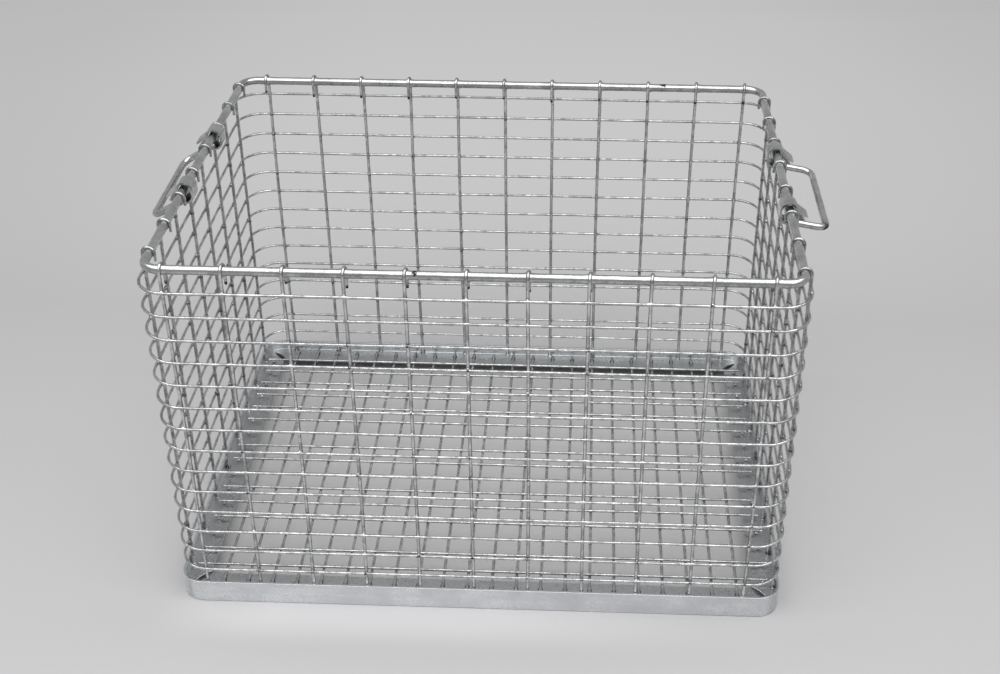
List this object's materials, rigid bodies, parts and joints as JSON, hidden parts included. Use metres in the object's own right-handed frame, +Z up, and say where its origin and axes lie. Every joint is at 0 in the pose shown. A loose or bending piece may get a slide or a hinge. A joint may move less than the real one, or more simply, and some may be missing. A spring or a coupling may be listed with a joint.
{
  "type": "stacking wire basket",
  "caption": "Open-topped rectangular basket of welded galvanised wire on a flat-bar base frame, with a round-bar rim and a swinging bail handle at each short end.",
  "frame": {"origin": "centre of the whole model's bounding box in plan, on the surface that it stands on", "axes": "+Z up, +X along the long side towards the right handle, -Y towards the viewer of the picture"},
  "size_m": [0.6654, 0.4566, 0.3943],
  "materials": {
    "rim_zinc": "hot-dip galvanised, dull",
    "base_zinc": "hot-dip galvanised, dull",
    "floor_zinc": "hot-dip galvanised, dull",
    "handle_zinc": "hot-dip galvanised, dull",
    "strap_zinc": "hot-dip galvanised, dull",
    "ring_zinc": "hot-dip galvanised, dull",
    "upright_zinc": "hot-dip galvanised, dull"
  },
  "bodies": {
    "basket": {"top_rim": "rim_zinc", "base_frame": "base_zinc", "floor_cross_wires": "floor_zinc", "floor_long_wires": "floor_zinc", "left_handle_straps": "strap_zinc", "right_handle_straps": "strap_zinc", "ring_wire_01": "ring_zinc", "ring_wire_02": "ring_zinc", "ring_wire_03": "ring_zinc", "ring_wire_04": "ring_zinc", "ring_wire_05": "ring_zinc", "ring_wire_06": "ring_zinc", "ring_wire_07": "ring_zinc", "ring_wire_08": "ring_zinc", "ring_wire_09": "ring_zinc", "ring_wire_10": "ring_zinc", "ring_wire_11": "ring_zinc", "ring_wire_12": "ring_zinc", "ring_wire_13": "ring_zinc", "ring_wire_14": "ring_zinc", "front_upright_01": "upright_zinc", "front_upright_02": "upright_zinc", "front_upright_03": "upright_zinc", "front_upright_04": "upright_zinc", "front_upright_05": "upright_zinc", "front_upright_06": "upright_zinc", "front_upright_07": "upright_zinc", "front_upright_08": "upright_zinc", "front_upright_09": "upright_zinc", "front_upright_10": "upright_zinc", "front_upright_11": "upright_zinc", "back_upright_01": "upright_zinc", "back_upright_02": "upright_zinc", "back_upright_03": "upright_zinc", "back_upright_04": "upright_zinc", "back_upright_05": "upright_zinc", "back_upright_06": "upright_zinc", "back_upright_07": "upright_zinc", "back_upright_08": "upright_zinc", "back_upright_09": "upright_zinc", "back_upright_10": "upright_zinc", "back_upright_11": "upright_zinc", "left_upright_01": "upright_zinc", "left_upright_02": "upright_zinc", "left_upright_03": "upright_zinc", "left_upright_04": "upright_zinc", "left_upright_05": "upright_zinc", "left_upright_06": "upright_zinc", "left_upright_07": "upright_zinc", "left_upright_08": "upright_zinc", "right_upright_01": "upright_zinc", "right_upright_02": "upright_zinc", "right_upright_03": "upright_zinc", "right_upright_04": "upright_zinc", "right_upright_05": "upright_zinc", "right_upright_06": "upright_zinc", "right_upright_07": "upright_zinc", "right_upright_08": "upright_zinc"},
    "left_handle": {"handle_left": "handle_zinc"},
    "right_handle": {"handle_right": "handle_zinc"}
  },
  "joints": [
    {"name": "left_handle_hinge", "type": "hinge", "parent": "basket", "child": "left_handle", "pos_m": [-0.29757, -0.006, 0.3773], "axis": [0, 1, 0], "range_deg": [0, 44]},
    {"name": "right_handle_hinge", "type": "hinge", "parent": "basket", "child": "right_handle", "pos_m": [0.29323, -0.023, 0.3773], "axis": [0, -1, 0], "range_deg": [-20, 24]}
  ]
}
